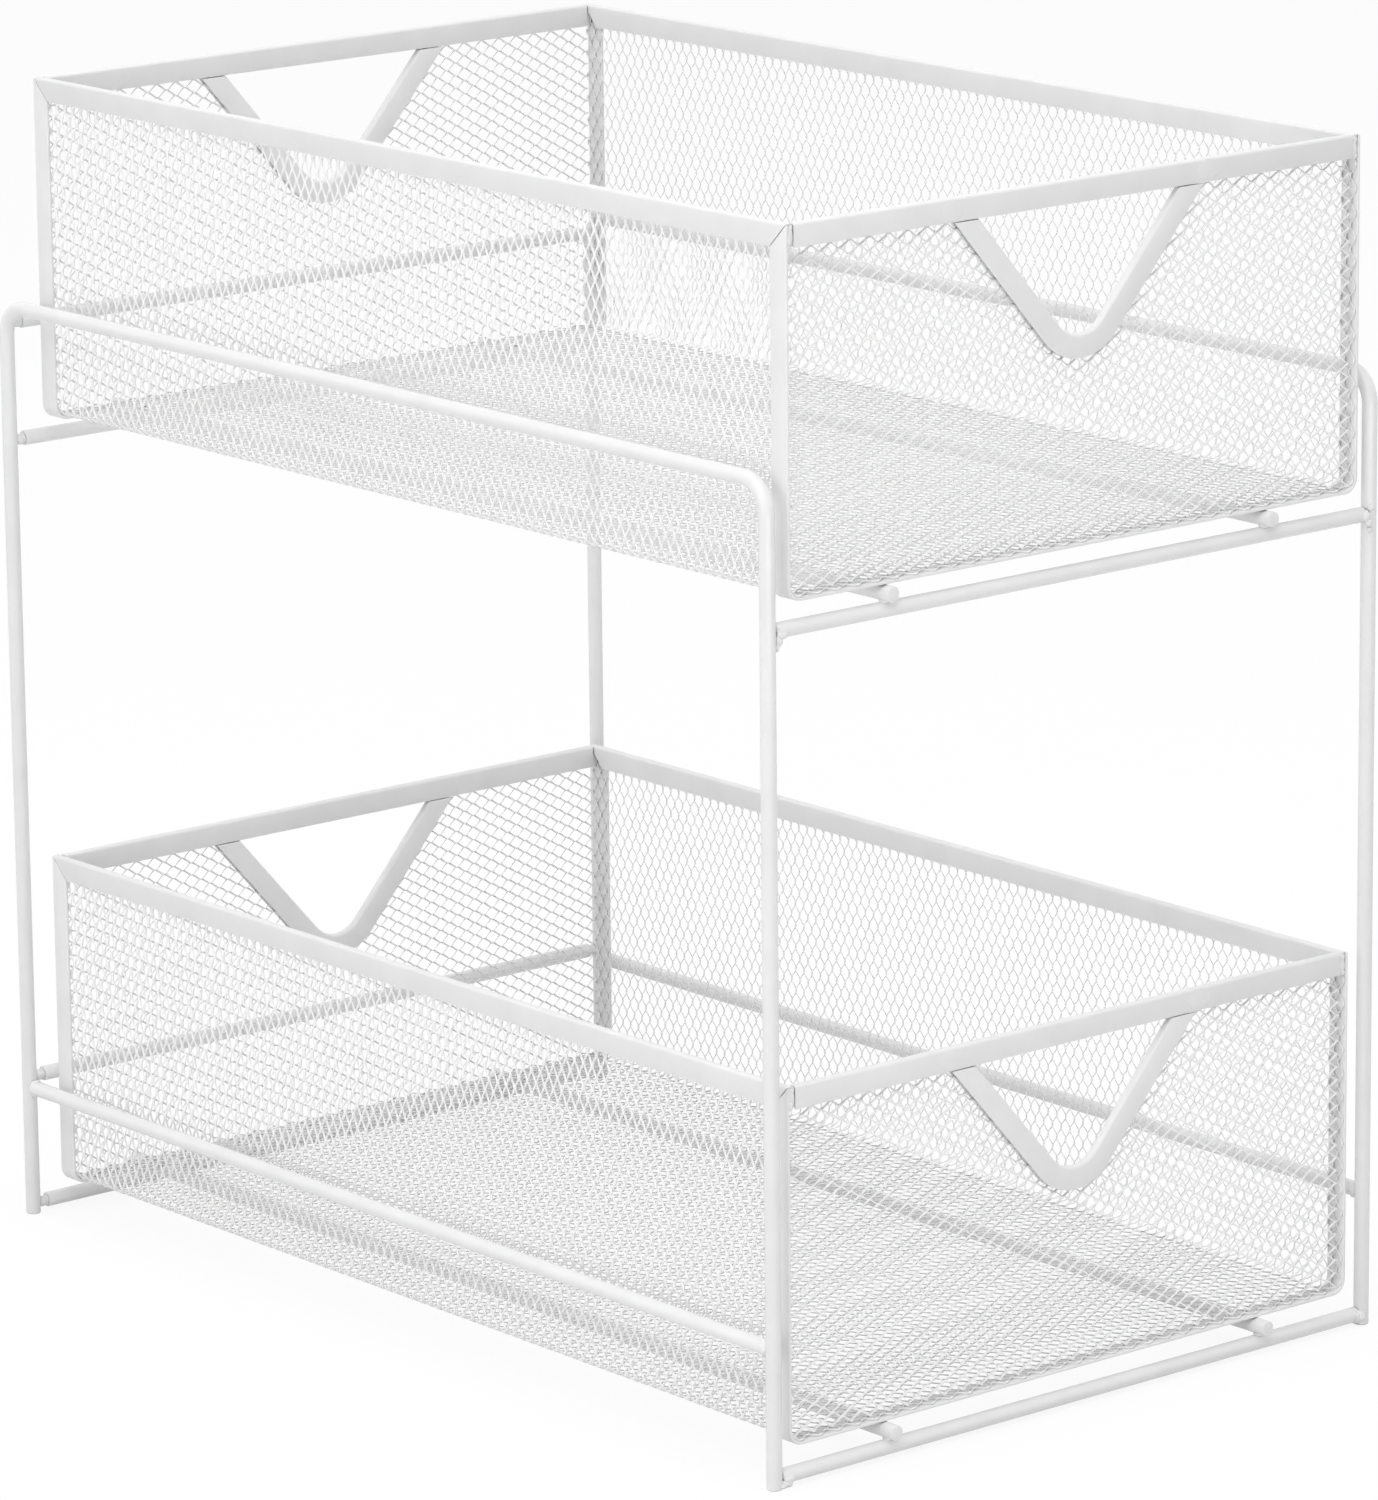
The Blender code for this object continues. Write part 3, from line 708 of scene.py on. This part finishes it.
def fitted(length, step, margin):
    """Whole steps in a length, and the step that fills it between its margins."""
    count = round((length - 2 * margin) / step)
    return count, (length - 2 * margin) / count


def floor_bonds():
    """Half width of the flat floor between the bends, and the columns of bonds on it."""
    bend_x = basket_size()[0] - HOOP_BEND_RADIUS
    return bend_x, round(2 * bend_x / LONG_STEP)


def floor_net():
    half_depth = basket_size()[1]
    bend_x, columns = floor_bonds()
    rows, row_pitch = fitted(2 * half_depth, SHORT_STEP, BOND_REACH)
    origin = (-bend_x, -half_depth + BOND_REACH)
    pitch = (2 * bend_x / columns, row_pitch)

    def place(x, y, depth):
        return np.stack([x, y, depth], axis=1)

    return net_mesh("floor_net", origin, (columns, rows), pitch, place, tilt=-1, seed=NET_SEEDS["floor"],
                    borrowed=(0, columns))


def side_net(side):
    """A side with the bend at its foot, from the floor's outermost bonds up."""
    _, half_depth, height = basket_size()
    bend_x, floor_columns = floor_bonds()
    bend_length = (HOOP_BEND_RADIUS - NET_MIDDLE) * math.pi / 2
    length = bend_length + (height - NET_OUTER) - HOOP_BEND_RADIUS - BOND_TIP
    columns = round(length / LONG_STEP)
    rows, row_pitch = fitted(2 * half_depth, SHORT_STEP, BOND_REACH)
    origin = (0, -half_depth + BOND_REACH)
    pitch = (length / columns, row_pitch)
    parity = 0 if side == "left" else floor_columns

    def place(up, y, depth):
        radius = HOOP_BEND_RADIUS - depth
        turn = np.clip(up / bend_length, 0, 1) * math.pi / 2
        x = bend_x + np.minimum(up, 0) + radius * np.sin(turn)
        z = HOOP_BEND_RADIUS - radius * np.cos(turn) + np.maximum(up - bend_length, 0)
        return np.stack([SIDE_SIGNS[side] * x, y, z], axis=1)

    return net_mesh(side + "_net", origin, (columns, rows), pitch, place, tilt=-1, seed=NET_SEEDS[side],
                    parity=parity, cut_columns=BEND_COLUMNS)


def handle_height(x, height):
    """Height of the V's centre line above the basket's bottom."""
    x = np.abs(x)
    top = height - HANDLE_TOP_DROP
    arm = top - (HANDLE_HALF_TOP - x) / math.tan(HANDLE_ARM_ANGLE)
    bend = top - HANDLE_BEND_DROP - np.sqrt(np.maximum(HANDLE_BEND_RADIUS ** 2 - x ** 2, 0))
    return np.where(x < HANDLE_BEND_RADIUS * math.cos(HANDLE_ARM_ANGLE), bend, arm)


def end_net():
    """An end, cut out along the V, round the bottom corners and behind the ends of the rim."""
    half_width, half_depth, height = basket_size()
    bottom = NET_INNER + END_NET_GAP
    half = half_width - NET_INNER - END_NET_GAP
    columns, pitch = fitted(2 * half, LONG_STEP, BOND_TIP)
    rows, row_pitch = fitted(height - NET_OUTER - bottom, SHORT_STEP, BOND_REACH)
    corner_radius = HOOP_BEND_RADIUS - bottom
    corner_x = half - corner_radius
    corner_z = bottom + corner_radius
    shoulder_x = half_width - END_TOP_INSET - LONG_STEP
    shoulder_z = height - RIM_GAP_HEIGHT - SHORT_STEP
    origin = (-half + BOND_TIP, bottom + BOND_REACH)

    def keep(x, z):
        across = np.abs(x)
        notch = (z > handle_height(x, height)) & (across < HANDLE_HALF_TOP + NOTCH_MARGIN)
        corner = (across > corner_x) & (z < corner_z)
        corner &= np.hypot(across - corner_x, z - corner_z) > corner_radius - BOND_HALF_WIDTH
        shoulder = (z > shoulder_z) & (across > shoulder_x)
        return ~(notch | corner | shoulder)

    def place(x, z, depth):
        return np.stack([x, depth - half_depth, z], axis=1)

    return net_mesh("end_net", origin, (columns, rows), (pitch, row_pitch), place, tilt=1,
                    seed=NET_SEEDS["end"], keep=keep)


def add_net(basket, part, mesh, nodes, turned=False):
    """Place a sheet of a basket in the place of CAD nodes of the same basket."""
    name = basket + "_" + part + "_net"
    nodes = [basket + "_" + node for node in nodes]
    add_piece(name, mesh, NET_PAINT_WITH_PAINTED_LIGHT, basket, nodes, basket_place(basket), turned)


def build_nets():
    nets = {"floor": floor_net(), "left": side_net("left"), "right": side_net("right")}
    end_sheet = end_net()
    for basket in BASKETS:
        for part, mesh in nets.items():
            add_net(basket, part, mesh, [part + "_mesh"])
        for end in ("front", "back"):
            nodes = [end + "_mesh_" + panel for panel in ("low", "left", "right")]
            add_net(basket, end, end_sheet, nodes, turned=end == "back")


# Studio

def plain_view(tree):
    """1 for camera, glossy and transmission rays, 0 for the rays that light the object."""
    path = tree.nodes.new("ShaderNodeLightPath")
    total = path.outputs["Is Camera Ray"]
    for ray in ("Is Glossy Ray", "Is Transmission Ray"):
        most = tree.nodes.new("ShaderNodeMath")
        most.operation = "MAXIMUM"
        tree.links.new(total, most.inputs[0])
        tree.links.new(path.outputs[ray], most.inputs[1])
        total = most.outputs[0]
    return total


def mix_shaders(tree, factor, first, second):
    mix = tree.nodes.new("ShaderNodeMixShader")
    if isinstance(factor, float):
        mix.inputs["Fac"].default_value = factor
    else:
        tree.links.new(factor, mix.inputs["Fac"])
    tree.links.new(first, mix.inputs[1])
    tree.links.new(second, mix.inputs[2])
    return mix.outputs[0]


def plain_shader(tree, kind, grey, strength=None):
    node = tree.nodes.new(kind)
    node.inputs["Color"].default_value = (grey, grey, grey, 1)
    if strength is not None:
        node.inputs["Strength"].default_value = strength
    return node.outputs[0]


def build_world():
    """Soft light all round but for one darker end of the room, white to the camera."""
    world = bpy.data.worlds.new("studio")
    bpy.context.scene.world = world
    world.use_nodes = True
    tree = world.node_tree
    tree.nodes.remove(tree.nodes["Background"])
    towards = tree.nodes.new("ShaderNodeVectorMath")
    towards.operation = "DOT_PRODUCT"
    towards.inputs[1].default_value = Vector(DARK_END).normalized()
    tree.links.new(tree.nodes.new("ShaderNodeTexCoord").outputs["Generated"], towards.inputs[0])
    level = tree.nodes.new("ShaderNodeMapRange")
    level.interpolation_type = "SMOOTHSTEP"
    for socket, number in (("From Min", DARK_END_FROM), ("From Max", DARK_END_TO),
                           ("To Min", WORLD_LIGHT), ("To Max", DARK_END_LIGHT)):
        level.inputs[socket].default_value = number
    tree.links.new(towards.outputs["Value"], level.inputs["Value"])
    room = plain_shader(tree, "ShaderNodeBackground", WHITE)
    tree.links.new(level.outputs["Result"], room.node.inputs["Strength"])
    white = plain_shader(tree, "ShaderNodeBackground", WHITE, 1.0)
    surface = mix_shaders(tree, plain_view(tree), room, white)
    tree.links.new(surface, tree.nodes["World Output"].inputs["Surface"])


def build_floor():
    """Plain pale floor, white to the camera with the object's shadow on it."""
    corners = [(x * FLOOR_HALF_SIDE, y * FLOOR_HALF_SIDE, 0) for x, y in ((-1, -1), (1, -1), (1, 1), (-1, 1))]
    mesh = bpy.data.meshes.new("studio_floor")
    mesh.from_pydata(corners, [], [(0, 1, 2, 3)])
    floor = bpy.data.objects.new("studio_floor", mesh)
    bpy.context.scene.collection.objects.link(floor)
    material = bpy.data.materials.new("studio_floor")
    material.use_nodes = True
    tree = material.node_tree
    tree.nodes.remove(tree.nodes["Principled BSDF"])
    white = plain_shader(tree, "ShaderNodeEmission", WHITE, 1.0)
    shaded = plain_shader(tree, "ShaderNodeBsdfDiffuse", FLOOR_WHITE)
    lighting = plain_shader(tree, "ShaderNodeBsdfDiffuse", FLOOR_GREY)
    seen = mix_shaders(tree, FLOOR_SHADE, white, shaded)
    surface = mix_shaders(tree, plain_view(tree), lighting, seen)
    tree.links.new(surface, tree.nodes["Material Output"].inputs["Surface"])
    mesh.materials.append(material)


def build_lights():
    for name, (place, width, height, power) in LIGHTS.items():
        light = bpy.data.lights.new(name, "AREA")
        light.shape = "RECTANGLE"
        light.size = width
        light.size_y = height
        light.energy = power
        lamp = bpy.data.objects.new(name, light)
        bpy.context.scene.collection.objects.link(lamp)
        lamp.visible_camera = False
        lamp.location = place
        lamp.rotation_euler = (Vector(LIGHT_AIM) - Vector(place)).to_track_quat("-Z", "Y").to_euler()


def build_camera():
    forward = Vector((math.sin(CAMERA_YAW) * math.cos(CAMERA_PITCH),
                      math.cos(CAMERA_YAW) * math.cos(CAMERA_PITCH), math.sin(CAMERA_PITCH)))
    level = Vector((math.cos(CAMERA_YAW), -math.sin(CAMERA_YAW), 0))
    upright = level.cross(forward)
    right = math.cos(CAMERA_ROLL) * level + math.sin(CAMERA_ROLL) * upright
    up = -math.sin(CAMERA_ROLL) * level + math.cos(CAMERA_ROLL) * upright
    data = bpy.data.cameras.new("camera")
    data.sensor_fit = "VERTICAL"
    data.sensor_height = SENSOR_HEIGHT
    data.lens = CAMERA_LENS
    data.clip_start = CLIP_NEAR
    data.clip_end = CLIP_FAR
    camera = bpy.data.objects.new("camera", data)
    bpy.context.scene.collection.objects.link(camera)
    axes = Matrix((right, up, -forward)).transposed().to_4x4()
    camera.matrix_world = Matrix.Translation(CAMERA_PLACE) @ axes
    bpy.context.scene.camera = camera


build_wires()
build_stand_welds()
build_basket_welds()
build_strips()
build_nets()
build_world()
build_floor()
build_lights()
build_camera()
bpy.context.scene.view_settings.view_transform = "Standard"
